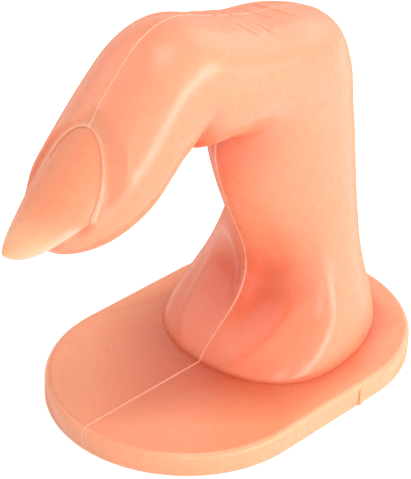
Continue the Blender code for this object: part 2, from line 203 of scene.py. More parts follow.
# Middle of the cuticle's lip and the far end of the nail: forward and up
CUTICLE_SHARES = (-0.7586, 0.8166)
NAIL_END_SHARES = (-1.1207, 0.5974)
NAIL_TAPER_SHARE = 0.57
NAIL_REAR_SHARE = 0.55
NAIL_CORNER_SHARE = 0.30
LIP_ROUND_SHARE = 0.50
TIP_POWER = 6
# Places along the free edge where the slot's cutter has a section
SLOT_FREE_SHARES = (0.02, 0.06, 0.1, 0.15, 0.2, 0.3, 0.4, 0.5)
# The nail's rows crowd towards its rear end, and the last one stops just short of its point
NAIL_ROW_CROWDING = 1.3
NAIL_LAST_SHARE = 0.9995
# Sections whose back is above this share of the rise lie over the knuckle or beyond it
KNUCKLE_SHARE = 0.5

# How finely the pieces are drawn: the finger's columns and the steps between its rings, then the
# nail and the cutters. The pace along the sections is measured over PACE_STEP of a row.
AROUND = 248
BACK_DENSER_SHARE = 0.38
RING_STEP = 0.7 * MM
WRINKLE_RING_STEP = 0.2 * MM
NAIL_RING_STEP = 0.2 * MM
NAIL_COLUMNS = 72
NAIL_ROWS = 96
CUTTER_STEPS = 60
PACE_STEP = 0.01


def smooth_step(value):
    """0 for a value up to 0, 1 for a value from 1 on, and a soft step between them."""
    value = min(1, max(0, value))
    return value * value * (3 - 2 * value)


def bump(distance, width):
    """1 at no distance, falling softly to almost nothing at twice the width."""
    return math.exp(-(distance / width) ** 2)


def finger_place(across_share, forward_share, up_share):
    """A point of the finger from its shares of half the width, the reach and the rise."""
    rise = FINGER_HEIGHT - PLATE_THICKNESS
    return Vector((across_share * FINGER_WIDTH / 2, forward_share * FINGER_REACH,
                   PLATE_THICKNESS + up_share * rise))


def section_at(place):
    """Row of SECTION_SHARES at a place between two rows, on a curve through all of them."""
    last = len(SECTION_SHARES) - 1
    first = min(int(place), last - 1)
    t = place - first
    before, here, there, after = (
        SECTION_SHARES[min(last, max(0, first + step))] for step in (-1, 0, 1, 2))
    return [
        (2 * b + (c - a) * t + (2 * a - 5 * b + 4 * c - d) * t * t
         + (3 * b - a - 3 * c + d) * t ** 3) / 2
        for a, b, c, d in zip(before, here, there, after)]


def nail_frame():
    """Matrix of the nail's own axes: X across, Y forward along the slot, Z out of the plate."""
    root = finger_place(0, *CUTICLE_SHARES)
    end = finger_place(0, *NAIL_END_SHARES)
    slope = (end - root).normalized()
    root -= Vector((0, slope.z, -slope.y)) * NAIL_SINK
    along = (end - root).normalized()
    out = Vector((0, along.z, -along.y))
    axes = Matrix((along.cross(out), along, out)).transposed().to_4x4()
    axes.translation = root
    return axes


NAIL_AXES = nail_frame()
TO_NAIL = NAIL_AXES.inverted()
NAIL_RADIUS = ((NAIL_WIDTH / 2) ** 2 + NAIL_ARCH ** 2) / (2 * NAIL_ARCH)


def lip_half_width(forward):
    """Half width of the U that the cuticle and the side folds leave open over the nail."""
    left = 1 - min(1, max(0, forward / NAIL_BED_LENGTH))
    return NAIL_WIDTH / 2 * (1 - left ** 2) ** LIP_ROUND_SHARE


def plate_half_width(forward):
    """Half width of the nail itself, from its hidden rear end to the start of the free edge."""
    corner = NAIL_CORNER_SHARE * (NAIL_BED_LENGTH + NAIL_TUCK)
    u = min(1, max(0, (forward + NAIL_TUCK) / corner))
    grow = math.sqrt(1 - (1 - u) ** 2)
    return NAIL_WIDTH / 2 * (NAIL_REAR_SHARE + (1 - NAIL_REAR_SHARE) * grow)


def free_half_width(share):
    """Half width of the free edge, from its start (0) to its rounded end (1)."""
    rounding = math.sqrt(max(0, 1 - share ** TIP_POWER))
    return NAIL_WIDTH / 2 * (1 - NAIL_TAPER_SHARE * share) * rounding


def reach_of(half_width):
    """Angle at which the nail's outer arc is that far from the middle."""
    return math.asin(min(1, half_width / NAIL_RADIUS))


# Outline of the lip in the nail's own axes, half of it, from the cuticle to its longer end: how
# far forward and how far round the nail's arc
LIP_LENGTH = NAIL_BED_LENGTH + FAR_LIP_LENGTH
LIP_LINE = [(LIP_LENGTH * (i / CUTTER_STEPS) ** 2,
             NAIL_RADIUS * reach_of(lip_half_width(LIP_LENGTH * (i / CUTTER_STEPS) ** 2)))
            for i in range(CUTTER_STEPS + 1)]


def lip_distance(forward, round_arc):
    """How far a point of the unrolled nail lies outside the lip's outline, or inside as a minus."""
    nearest = min(math.hypot(forward - y, round_arc - x) for y, x in LIP_LINE)
    inside = forward > 0 and round_arc < NAIL_RADIUS * reach_of(lip_half_width(forward))
    return -nearest if inside else nearest


def wrinkles_at(point):
    """How much a place on the back lies in the knuckle's wrinkles, and how much on their rims."""
    aside = (point.x + math.hypot(point.x, WRINKLE_TURN)) / 2
    groove = ridge = 0
    for place, share, reach_share in WRINKLE_SHARES:
        fade = smooth_step((abs(point.x) - reach_share * WRINKLE_REACH) / WRINKLE_FADE)
        away = abs(point.y - place * FINGER_REACH - WRINKLE_SLANT_SHARE * aside)
        groove += share * (1 - fade) * bump(away, WRINKLE_WIDTH)
        ridge += share * (1 - fade) * bump(away - 2 * WRINKLE_WIDTH, WRINKLE_WIDTH)
    return groove, ridge


def with_wrinkles(point, angle):
    """Sinks the wrinkles of the bent knuckle into the back of the finger, each between rims."""
    facing_back = max(0, -math.cos(angle)) ** WRINKLE_FACING_POWER
    if not facing_back:
        return point
    groove, ridge = wrinkles_at(point)
    return point + Vector((0, 0, (WRINKLE_RIM * ridge - WRINKLE_DEPTH * groove) * facing_back))


def with_hollows(point):
    """Sinks the two hollows beside the ridge on the front of the foot."""
    middle = finger_place(*HOLLOW_SHARES)
    across = (abs(point.x) - middle.x) / HOLLOW_WIDTH
    over = (point.z - middle.z) / HOLLOW_HEIGHT
    away = math.hypot(across, over)
    facing_front = smooth_step((middle.y + 2 * HOLLOW_HEIGHT - point.y) / HOLLOW_HEIGHT)
    outside = smooth_step(across + HOLLOW_RIM_WIDTH)
    below = smooth_step(HOLLOW_RIM_WIDTH - over)
    sunk = HOLLOW_DEPTH * bump(away, 1)
    sunk -= HOLLOW_RIM * bump(away - HOLLOW_RIM_PLACE, HOLLOW_RIM_WIDTH) * (outside * below)
    side = max(-1, min(1, point.x / HOLLOW_WIDTH))
    inward = Vector((-side, 1, 0)).normalized()
    return point + inward * sunk * facing_front


def along_crease(point, ends):
    """How far along a crease a point lies, from 0 to 1, and how far off the crease."""
    low, high = (finger_place(*shares) for shares in ends)
    run = high - low
    share = min(1, max(0, (point - low).dot(run) / run.length_squared))
    return share, (point - low - run * share).length


def with_bend_crease(point, middle):
    """Presses the crease inside the bend, which runs from the palm side up each flank."""
    mirrored = Vector((abs(point.x), point.y, point.z))
    share, away = along_crease(mirrored, BEND_CREASE_SHARES)
    near = bump(away, BEND_CREASE_WIDTH)
    fade = 1 - smooth_step(share)
    inward = (middle - point).normalized()
    return point + inward * BEND_CREASE_DEPTH * near * fade


def joint_crease_at(point, width):
    """How near a point lies to the crease under the end joint, fading up the flanks."""
    in_side_view = Vector((0, point.y, point.z))
    share, away = along_crease(in_side_view, JOINT_CREASE_SHARES)
    return bump(away, width) * (1 - smooth_step(share))


def with_joint_crease(point, middle):
    """Presses the crease under the end joint, where the finger's end bends off from the rest."""
    inward = (middle - point).normalized()
    return point + inward * JOINT_CREASE_DEPTH * joint_crease_at(point, JOINT_CREASE_WIDTH)


def with_root_tuck(point, middle):
    """Draws the foot in a little where it meets the plate, so that a crease shows there."""
    height = (point.z - PLATE_THICKNESS) / ROOT_TUCK_HEIGHT
    tuck = ROOT_TUCK * max(0, 1 - max(0, height)) ** 2
    inward = Vector((middle.x - point.x, middle.y - point.y, 0)).normalized()
    return point + inward * tuck


def far_share(across):
    """0 on the gate stub's side of the nail and 1 on the other, for a place across the nail."""
    return smooth_step(across / (NAIL_WIDTH / 4))


def lip_end(across):
    """How far forward the lip runs on that side of the nail."""
    return NAIL_BED_LENGTH + FAR_LIP_LENGTH * far_share(across)


def with_pad_drop(stand, forward, turn, end, near):
    """Lets the fingertip's pad drop away under the nail's free edge, from the lip's end on."""
    share = (forward - NAIL_BED_LENGTH) / NAIL_FREE_LENGTH
    drop = smooth_step((forward - end + PAD_DROP_LENGTH) / (2 * PAD_DROP_LENGTH))
    beyond = NAIL_RADIUS * (turn - reach_of(NAIL_WIDTH / 2))
    beside = 1 - smooth_step(beyond / PAD_DROP_WIDTH)
    tighter = NAIL_RADIUS * (1 - free_half_width(min(1, max(0, share))) / (NAIL_WIDTH / 2))
    under = -NAIL_THICKNESS - SLOT_FLOOR_CLEARANCE - tighter * (1 - math.cos(turn))
    return stand + min(0, under - stand) * drop * beside * near


def side_fold_rise(forward, away, across):
    """How far the fold beside the nail stands up, most of all where the free edge starts."""
    rise = FOLD_RISE + (FAR_FOLD_RISE - FOLD_RISE) * far_share(across)
    grown = smooth_step((forward - FOLD_RISE_START) / FOLD_RISE_LENGTH)
    ended = smooth_step((forward - lip_end(across) + PAD_DROP_LENGTH) / (3 * PAD_DROP_LENGTH))
    return rise * bump(away - FOLD_RISE_PLACE, FOLD_RISE_WIDTH) * grown * (1 - ended)


def with_nail_folds(point, angle):
    """Shapes the flesh round the nail: a thin beaded lip, then a fine groove, then the fold."""
    near = smooth_step(-2 * math.cos(angle))
    local = TO_NAIL @ point
    if not near or local.y < -2 * NAIL_TUCK:
        return point
    near *= smooth_step(2 + local.y / NAIL_TUCK)
    turn = math.atan2(local.x, local.z + NAIL_RADIUS)
    out = math.hypot(local.x, local.z + NAIL_RADIUS)
    away = lip_distance(local.y, abs(turn) * NAIL_RADIUS)
    far = far_share(local.x)
    end = lip_end(local.x)
    fullness = 1 + (FAR_LIP_SHARE - 1) * far
    natural = out - NAIL_RADIUS + side_fold_rise(local.y, away, local.x) * near
    on_bed = near * (1 - smooth_step((local.y - end) / PAD_DROP_LENGTH))
    beside = 1 - smooth_step(away / (FOLD_WIDTH + (FAR_FOLD_WIDTH - FOLD_WIDTH) * far))
    stand = natural + (LIP_GROOVE_STAND - natural) * beside * on_bed
    bead = fullness * LIP_BEAD * bump(away - LIP_BEAD_WIDTH, LIP_BEAD_WIDTH) * on_bed
    edge = smooth_step(1 - away / LIP_BEAD_WIDTH) * on_bed
    stand = stand + bead + (fullness * LIP_STAND - stand - bead) * edge
    out = NAIL_RADIUS + with_pad_drop(stand, local.y, abs(turn), end, near)
    local.x = out * math.sin(turn)
    local.z = out * math.cos(turn) - NAIL_RADIUS
    return NAIL_AXES @ local


def column_turns():
    """Turns of the finger's columns, from the palm side round to it again."""
    turns = [2 * math.pi * step / AROUND for step in range(AROUND + 1)]
    return [turn + BACK_DENSER_SHARE * math.sin(turn) for turn in turns]


def ring_places():
    """Places of the finger's rings: a ring step apart, and closer at the wrinkles and the nail."""
    nail_start = FINGER_REACH * CUTICLE_SHARES[0] + 2 * NAIL_TUCK
    wrinkles_start = FINGER_REACH * WRINKLE_SHARES[-1][0] + WRINKLE_SLANT_SHARE * WRINKLE_REACH
    wrinkles_end = FINGER_REACH * WRINKLE_SHARES[0][0] - 4 * WRINKLE_WIDTH
    places = [0]
    last = len(SECTION_SHARES) - 1
    while places[-1] < last:
        here = section_at(places[-1])
        further = section_at(min(last, places[-1] + PACE_STEP))
        back = finger_place(0, further[0], further[1]) - finger_place(0, here[0], here[1])
        palm = finger_place(0, further[2], further[3]) - finger_place(0, here[2], here[3])
        pace = max(back.length, palm.length) / PACE_STEP
        forward = here[0] * FINGER_REACH
        over_the_knuckle = here[1] > KNUCKLE_SHARE
        step = RING_STEP
        if over_the_knuckle and wrinkles_end < forward < wrinkles_start:
            step = WRINKLE_RING_STEP
        if over_the_knuckle and forward < nail_start:
            step = NAIL_RING_STEP
        places.append(places[-1] + step / pace)
    places[-1] = last
    return places


def finger_point(row, angle):
    """A point of the finger's skin on a section, at an angle round it from the palm side."""
    back_y, back_z, palm_y, palm_z, half_share, widest, palm_full, back_full = row
    back = finger_place(0, back_y, back_z)
    palm = finger_place(0, palm_y, palm_z)
    middle = palm.lerp(back, widest)
    cosine, sine = math.cos(angle), math.sin(angle)
    full = palm_full if cosine > 0 else back_full
    point = middle.lerp(palm if cosine > 0 else back, abs(cosine))
    point.x = half_share * FINGER_WIDTH / 2 * sine * (1 + full * cosine ** 2)
    point = with_wrinkles(point, angle)
    point = with_hollows(point)
    point = with_bend_crease(point, middle)
    point = with_joint_crease(point, middle)
    point = with_root_tuck(point, middle)
    return with_nail_folds(point, angle)


def with_flash(point, middle):
    """Raises a point that lies on the mould's parting plane into the line of flash."""
    outward = Vector((0, point.y - middle.y, point.z - middle.z)).normalized()
    return point + outward * FLASH_STAND


def flash_turn(row, next_turn):
    """How far round from the parting plane the flash ends, short of the next column there."""
    half = row[4] * FINGER_WIDTH / 2
    return min(math.asin(min(1, FLASH_WIDTH / half)), FLASH_CROWDING_SHARE * next_turn)


def make_finger_skin():
    """The finger's skin: a grid wrapped round the sections, closed at the root and the tip."""
    turns = column_turns()
    middle_column = AROUND // 2
    places = [-1] + ring_places()
    bm = bmesh.new()
    bmesh.ops.create_grid(bm, x_segments=AROUND, y_segments=len(places) - 1, size=1)
    for vert in bm.verts:
        column = round((vert.co.x + 1) / 2 * AROUND)
        ring = round((vert.co.y + 1) / 2 * (len(places) - 1))
        row = section_at(max(0, places[ring]))
        angle = turns[column]
        if column in (1, AROUND - 1):
            beside = flash_turn(row, turns[2])
            angle = beside if column == 1 else 2 * math.pi - beside
        if column in (middle_column - 1, middle_column + 1):
            beside = flash_turn(row, math.pi - turns[middle_column - 2])
            angle = math.pi + (column - middle_column) * beside
        point = finger_point(row, angle)
        if column in (0, middle_column, AROUND):
            middle = finger_place(0, (row[0] + row[2]) / 2, (row[1] + row[3]) / 2)
            point = with_flash(point, middle)
        if places[ring] < 0:
            point.z -= ROOT_DEPTH
        vert.co = point
    bmesh.ops.remove_doubles(bm, verts=bm.verts, dist=WELD_DISTANCE)
    bmesh.ops.holes_fill(bm, edges=bm.edges, sides=0)
    bmesh.ops.recalc_face_normals(bm, faces=bm.faces)
    return new_object("finger_body_shape", bm)


def add_edge_lines(bm, across, places):
    """Lets edges run round the shape on planes across a direction, at those places along it."""
    for place in places:
        bmesh.ops.bisect_plane(bm, geom=bm.verts[:] + bm.edges[:] + bm.faces[:],
                               dist=FINE_WELD_DISTANCE, plane_co=across * place,
                               plane_no=across)


def make_plate():
    """Oblong plate with half-round ends, a rounded top edge and the line of flash along X = 0."""
    bm = bmesh.new()
    bmesh.ops.create_cube(bm, size=1)
    bmesh.ops.scale(bm, verts=bm.verts, vec=(PLATE_WIDTH, PLATE_LENGTH, PLATE_THICKNESS))
    bmesh.ops.translate(bm, verts=bm.verts, vec=(0, 0, PLATE_THICKNESS / 2))
    upright = [e for e in bm.edges if e.verts[0].co.xy == e.verts[1].co.xy]
    bmesh.ops.bevel(bm, geom=upright, offset=PLATE_WIDTH / 2, segments=PLATE_CORNER_STEPS,
                    profile=0.5, clamp_overlap=True, affect="EDGES", material=-1)
    bmesh.ops.remove_doubles(bm, verts=bm.verts, dist=WELD_DISTANCE)
    upper = [e for e in bm.edges if all(v.co.z > PLATE_THICKNESS / 2 for v in e.verts)]
    bmesh.ops.bevel(bm, geom=upper, offset=PLATE_FILLET, segments=PLATE_FILLET_STEPS,
                    profile=0.5, affect="EDGES", material=-1)
    lower = [e for e in bm.edges if all(v.co.z < WELD_DISTANCE for v in e.verts)]
    bmesh.ops.bevel(bm, geom=lower, offset=PLATE_LOWER_FILLET, segments=PLATE_LOWER_FILLET_STEPS,
                    profile=0.5, affect="EDGES", material=-1)
    flat = [f for f in bm.faces if abs(f.normal.z) > FLAT_NORMAL]
    bmesh.ops.inset_individual(bm, faces=flat, thickness=PLATE_FACE_INSET)
    add_edge_lines(bm, Vector((1, 0, 0)), [step * FLASH_WIDTH for step in (-2, -1, 0, 1, 2)])
    add_edge_lines(bm, Vector((0, 1, 0)), (GATE_OFFSET - GATE_WIDTH, GATE_OFFSET + GATE_WIDTH))
    bm.normal_update()
    ridge = [v for v in bm.verts if abs(v.co.x) < WELD_DISTANCE and v.co.z > WELD_DISTANCE]
    for vert in ridge:
        vert.co += vert.normal * FLASH_STAND
    bmesh.ops.recalc_face_normals(bm, faces=bm.faces)
    return new_object("plate_shape", bm)


def make_gate():
    """Thin upright rib left on the plate's side where the moulding gate was cut off."""
    height = PLATE_THICKNESS - PLATE_FILLET
    bm = bmesh.new()
    bmesh.ops.create_cube(bm, size=1)
    bmesh.ops.scale(bm, verts=bm.verts, vec=(2 * GATE_STAND, GATE_WIDTH, height))
    bmesh.ops.bevel(bm, geom=bm.edges[:], offset=GATE_FILLET, segments=GATE_FILLET_STEPS,
                    profile=0.5, affect="EDGES", material=-1)
    bmesh.ops.translate(bm, verts=bm.verts, vec=(PLATE_WIDTH / 2, GATE_OFFSET, height / 2))
    return new_object("gate_shape", bm)


def arc_points(reach, radius, ridge):
    """Points across the nail on an arc of that radius, out to an angle on both sides."""
    angles = (reach * (2 * i / NAIL_COLUMNS - 1) for i in range(NAIL_COLUMNS + 1))
    return [(radius * math.sin(a), ridge - radius * (1 - math.cos(a))) for a in angles]


def make_cutter(name, sections):
    """Closed solid over sections across the nail: each is how far forward, and its points."""
    around = len(sections[0][1])
    bm = bmesh.new()
    bmesh.ops.create_grid(bm, x_segments=around, y_segments=len(sections) - 1, size=1)
    for vert in bm.verts:
        column = round((vert.co.x + 1) / 2 * around) % around
        forward, points = sections[round((vert.co.y + 1) / 2 * (len(sections) - 1))]
        across, up = points[column]
        vert.co = NAIL_AXES @ Vector((across, forward, up))
    bmesh.ops.remove_doubles(bm, verts=bm.verts, dist=FINE_WELD_DISTANCE)
    bmesh.ops.holes_fill(bm, edges=bm.edges, sides=0)
    bmesh.ops.recalc_face_normals(bm, faces=bm.faces)
    return new_object(name, bm)


def make_slot_cutter():
    """The nail's own shell grown by the clearances and run out past the fingertip."""
    gap = NAIL_THICKNESS + SLOT_FLOOR_CLEARANCE
    corner = NAIL_CORNER_SHARE * (NAIL_BED_LENGTH + NAIL_TUCK)
    rows = []
    for step in range(CUTTER_STEPS // 2 + 1):
        forward = (2 * step / CUTTER_STEPS) ** 2 * corner - NAIL_TUCK
        side = SLOT_SIDE_CLEARANCE / (NAIL_RADIUS - gap)
        reach = reach_of(plate_half_width(forward)) + side
        rows.append((forward - SLOT_SIDE_CLEARANCE, reach, NAIL_RADIUS - gap))
    rows.append((NAIL_BED_LENGTH - SLOT_SIDE_CLEARANCE, reach, NAIL_RADIUS - gap))
    for share in SLOT_FREE_SHARES:
        forward = NAIL_BED_LENGTH + share * NAIL_FREE_LENGTH
        tight = NAIL_RADIUS * free_half_width(share) / (NAIL_WIDTH / 2) - gap
        rows.append((forward, reach, tight))
    rows.append((NAIL_BED_LENGTH + NAIL_FREE_LENGTH, reach, tight))
    sections = []
    for forward, reach, inner in rows:
        top = arc_points(reach, NAIL_RADIUS + SLOT_CLEARANCE, SLOT_CLEARANCE)
        low = arc_points(reach, inner, -gap)
        sections.append((forward, top + low[::-1]))
    return make_cutter("slot_shape", sections)


def make_window_cutter():
    """The open U over the nail: all that stands above the plate inside its visible outline."""
    lift = SLOT_CLEARANCE / 2
    stations = [y for y, _ in LIP_LINE[1:]]
    stations.append(NAIL_BED_LENGTH + NAIL_FREE_LENGTH)
    sections = []
    for forward in stations:
        low = arc_points(reach_of(lip_half_width(forward)), NAIL_RADIUS + lift, lift)
        high = [(x, CUT_OVERRUN) for x, z in low]
        sections.append((forward, low + high[::-1]))
    return make_cutter("window_shape", sections)


def new_object(name, bm):
    """A new piece in the scene from a finished bmesh, which is freed."""
    mesh = bpy.data.meshes.new(name)
    bm.to_mesh(mesh)
    bm.free()
    piece = bpy.data.objects.new(name, mesh)
    bpy.context.scene.collection.objects.link(piece)
    return piece


def cut_or_join(piece, tool, operation):
    """Cuts a tool out of a piece or joins it on, and puts the tool away."""
    step = piece.modifiers.new(tool.name, "BOOLEAN")
    step.operation = operation
    step.object = tool
    step.solver = "EXACT"
    bpy.context.view_layer.update()
    shaped = bpy.data.meshes.new_from_object(
        piece.evaluated_get(bpy.context.evaluated_depsgraph_get()))
    piece.modifiers.clear()
    piece.data = shaped
    bpy.data.objects.remove(tool)


def painted_shade_of_finger(place, normal):
    """Painted shade on the finger: in the hollows, inside the bend, under the end joint, at the
    root and low on the foot where it faces forward.
    """
    joint = JOINT_SHADE * joint_crease_at(place, JOINT_SHADE_REACH)
    hollow = finger_place(*HOLLOW_SHADE_SHARES)
    sunk = HOLLOW_SHADE * bump((place - hollow).length, HOLLOW_SHADE_REACH)
    share, away = along_crease(place, BEND_CREASE_SHARES)
    bent = BEND_SHADE * bump(away, BEND_SHADE_REACH) * (1 - smooth_step(share))
    height = place.z - PLATE_THICKNESS
    root = ROOT_SHADE * bump(height, ROOT_SHADE_REACH)
    # Painted shade low on the foot where it faces forward
    front = FOOT_SHADE * max(0, -normal.y) * bump(height, FOOT_SHADE_HEIGHT)
    return sunk + bent + joint + max(root, front)


def painted_shade_of_plate(place):
    """Painted shade on the plate: the finger's shadow over its middle and front, less where light
    falls on its left side, none at its thin rim, and more round the foot.
    """
    half = PLATE_WIDTH / 2
    beyond = max(0, abs(place.y) - (PLATE_LENGTH / 2 - half))
    inside = half - math.hypot(place.x, beyond)
    toward_front = PLATE_SHADE_LEAN * (place.x - place.y) / math.sqrt(2)
    # Painted light on the plate's left side, which lifts part of the painted shadow there
    lit = PLATE_LIT_SHARE * smooth_step((PLATE_LIT_START - place.x) / PLATE_LIT_LENGTH)
    middle = (1 - lit) * smooth_step((inside + toward_front) / PLATE_SHADE_REACH)
    middle *= smooth_step(inside / PLATE_RIM)
    back, front = FINGER_REACH * SECTION_SHARES[0][0], FINGER_REACH * SECTION_SHARES[0][2]
    across = FINGER_WIDTH / 2 * SECTION_SHARES[0][4]
    foot = math.hypot(place.x / across, (2 * place.y - back - front) / (back - front))
    # Painted shade in the crease round the foot
    root = ROOT_SHADE * bump(max(0, foot - 1) * across, ROOT_SHADE_REACH)
    return middle + root * (1 - middle)


def painted_highlight_of_lip(place):
    """Painted highlight along the thin lip round the nail, or as a minus the painted shade in the
    groove outside it.
    """
    local = TO_NAIL @ place
    round_arc = abs(math.atan2(local.x, local.z + NAIL_RADIUS)) * NAIL_RADIUS
    stand = math.hypot(local.x, local.z + NAIL_RADIUS) - NAIL_RADIUS
    in_reach = -FOLD_WIDTH < local.y < lip_end(local.x) and round_arc < NAIL_WIDTH
    if not in_reach or abs(stand) > FOLD_WIDTH:
        return 0
    away = lip_distance(local.y, round_arc)
    shade = LIP_GROOVE_SHADE + (FAR_GROOVE_SHADE - LIP_GROOVE_SHADE) * far_share(local.x)
    shade *= smooth_step(local.y / LIP_GROOVE_SHADE_LENGTH)
    groove = shade * bump(away - 3 * LIP_BEAD_WIDTH, LIP_BEAD_WIDTH)
    # Painted highlight on the lip's bead, less the painted shade of the groove
    return bump(away - LIP_BEAD_WIDTH / 2, LIP_BEAD_WIDTH) - groove


def paint_shade_and_highlight(body):
    """Paints shade into the vinyl's colour at each point, or as a minus painted highlight, for the
    skin's material to read.
    """
    painted_shade_and_highlight = body.data.attributes.new("painted_shade_and_highlight", "FLOAT", "POINT")
    for vert, mark in zip(body.data.vertices, painted_shade_and_highlight.data):
        place = Vector((abs(vert.co.x), vert.co.y, vert.co.z))
        on_plate = vert.co.z < PLATE_THICKNESS + FLASH_STAND + WELD_DISTANCE
        shade = painted_shade_of_plate(vert.co) if on_plate else painted_shade_of_finger(place, vert.normal)
        groove, ridge = wrinkles_at(vert.co)
        # Painted shade in the knuckle's wrinkles and painted highlight on their rims, on skin that
        # faces up
        wrinkle_shade_and_highlight = (WRINKLE_SHADE * groove - WRINKLE_GLOW * ridge) * max(0, vert.normal.z)
        on_knuckle = vert.co.z > FINGER_HEIGHT / 2
        mark.value = min(1, shade) - painted_highlight_of_lip(vert.co) + (wrinkle_shade_and_highlight if on_knuckle else 0)


def make_finger_body(skin):
    """The whole vinyl moulding in one piece: finger, foot, plate, gate stub and the nail's slot."""
    body = make_finger_skin()
    cut_or_join(body, make_plate(), "UNION")
    cut_or_join(body, make_gate(), "UNION")
    cut_or_join(body, make_slot_cutter(), "DIFFERENCE")
    cut_or_join(body, make_window_cutter(), "DIFFERENCE")
    paint_shade_and_highlight(body)
    body.name = "moulded_finger"
    body.data.name = "moulded_finger"
    body.data.materials.append(skin)
    body.data.shade_smooth()
    body.data.set_sharp_from_angle(angle=SHARP_ANGLE)
    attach(body, "finger")
    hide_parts("finger_body")
    return body


def nail_point(across_share, along_share):
    """A point of the nail's outer face: across from -1 to 1, along from its rear end to its tip."""
    bed = NAIL_BED_LENGTH + NAIL_TUCK
    bed_share = bed / (bed + NAIL_FREE_LENGTH)
    radius = NAIL_RADIUS
    if along_share < bed_share:
        forward = -NAIL_TUCK + bed * (along_share / bed_share) ** NAIL_ROW_CROWDING
        reach = reach_of(plate_half_width(forward))
    else:
        run = (along_share - bed_share) / (1 - bed_share)
        share = math.sin(math.pi / 2 * run) * NAIL_LAST_SHARE
        radius *= free_half_width(share) / (NAIL_WIDTH / 2)
        reach = reach_of(NAIL_WIDTH / 2)
        forward = NAIL_BED_LENGTH + NAIL_FREE_LENGTH * share
    angle = reach * across_share
    return NAIL_AXES @ Vector((radius * math.sin(angle), forward,
                               -radius * (1 - math.cos(angle))))


def paint_edge_glow(nail):
    """Paints a pale glow of light along the thin rim of the free edge."""
    edge = nail.data.attributes.new("edge", "FLOAT", "POINT")
    for vert, mark in zip(nail.data.vertices, edge.data):
        local = TO_NAIL @ vert.co
        share = min(1, max(0, (local.y - NAIL_BED_LENGTH) / NAIL_FREE_LENGTH))
        inside = max(0, free_half_width(share) - abs(local.x))
        mark.value = bump(inside, NAIL_GLOW_REACH) * smooth_step(NAIL_GLOW_GROWTH * share)


def make_nail_tip(plastic):
    """Curved shell: a straight tongue that fits the slot, and a free edge that tapers."""
    bm = bmesh.new()
    bmesh.ops.create_grid(bm, x_segments=NAIL_COLUMNS, y_segments=NAIL_ROWS, size=1)
    for vert in bm.verts:
        vert.co = nail_point(vert.co.x, (vert.co.y + 1) / 2)
    bm.normal_update()
    middle = min(bm.faces, key=lambda f: (TO_NAIL @ f.calc_center_median()).xy.length)
    if middle.normal.dot(NAIL_AXES.col[2].xyz) < 0:
        bmesh.ops.reverse_faces(bm, faces=bm.faces)
    bmesh.ops.solidify(bm, geom=bm.faces[:], thickness=NAIL_THICKNESS)
    bmesh.ops.recalc_face_normals(bm, faces=bm.faces)
    nail = new_object("nail_tip_plate", bm)
    paint_edge_glow(nail)
    rounding = nail.modifiers.new("rounded_edge", "BEVEL")
    rounding.width = NAIL_EDGE_ROUND
    rounding.segments = NAIL_EDGE_STEPS
    rounding.limit_method = "ANGLE"
    rounding.angle_limit = SHARP_ANGLE
    nail.data.materials.append(plastic)
    nail.data.shade_smooth()
    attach(nail, "nail")
    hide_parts("nail_tip")
    return nail


# Finishes: the colours, the roughness of the gloss, how light spreads inside, and the noise with
# its cells to a metre
SKIN_COLOR = (0.98, 0.32, 0.175, 1)
SKIN_PALE = (0.98, 0.325, 0.18, 1)
# Painted shade colours of the finger and of the plate
SKIN_SHADE_COLOR = (0.78, 0.14, 0.065, 1)
# Painted glow: the plate's vinyl coloured paler and more orange than the finger's
PLATE_GLOW_COLOR = (1, 0.395, 0.215, 1)
PLATE_SHADE_COLOR = (0.6, 0.1, 0.042, 1)
# Pale tint of the line of flash, also the colour of the painted highlights on the lip and the
# wrinkles' rims
FLASH_AND_HIGHLIGHT_COLOR = (1, 0.46, 0.3, 1)
NAIL_COLOR = (0.98, 0.32, 0.175, 1)
NAIL_TIP_COLOR = (0.98, 0.49, 0.28, 1)
# Painted glow along the rim of the nail's free edge
NAIL_EDGE_GLOW_COLOR = (1, 0.54, 0.39, 1)
WHITE = (1, 1, 1, 1)
SKIN_ROUGHNESS = (0.24, 0.3)
NAIL_ROUGHNESS = (0.25, 0.31)
EDGE_ON_START = 0.5
EDGE_ON_END = 0.95
EDGE_ON_ROUGHNESS = 0.85
PLASTIC_IOR = 1.5
SKIN_SPECULAR = 0.44
NAIL_SPECULAR = 0.16
SKIN_SOFTNESS = 0.35
SKIN_HARD_DEPTH = -0.8
SKIN_SOFT_DEPTH = -0.1
SKIN_SPREAD = (1, 0.35, 0.2)
SKIN_SPREAD_REACH = 2.5 * MM
NAIL_SOFTNESS = 0.4
NAIL_SPREAD = (1, 0.5, 0.3)
NAIL_SPREAD_REACH = 1.5 * MM
NAIL_FADE_START = 13 * MM
NAIL_FADE_END = 22 * MM
MOTTLE_DETAIL = 2
MOTTLE_NOISE = (0.35, 0.65)
GLOSS_DETAIL = 3
GLOSS_NOISE = (0.3, 0.7)
SKIN_MOTTLE_CELLS = 90
SKIN_GLOSS_CELLS = 400
NAIL_GLOSS_CELLS = 500
NAIL_GRAIN_CELLS = 900
NAIL_GRAIN_DEPTH = 0.02 * MM
NAIL_GRAIN_STRENGTH = 0.15


def new_material(name):
    """A new material with its nodes and links."""
    made = bpy.data.materials.new(name)
    made.use_nodes = True
    return made, made.node_tree.nodes, made.node_tree.links


def object_coordinates(nodes):
    """The piece's own coordinates, in metres."""
    return nodes.new("ShaderNodeTexCoord").outputs["Object"]


def painted(nodes, name):
    """A mark painted on the piece's points."""
    mark = nodes.new("ShaderNodeAttribute")
    mark.attribute_name = name
    return mark.outputs["Fac"]


def reckoned(nodes, links, operation, *values):
    """Result of a Math node's operation on other nodes' outputs."""
    node = nodes.new("ShaderNodeMath")
    node.operation = operation
    for value, socket in zip(values, node.inputs):
        links.new(value, socket)
    return node.outputs["Value"]


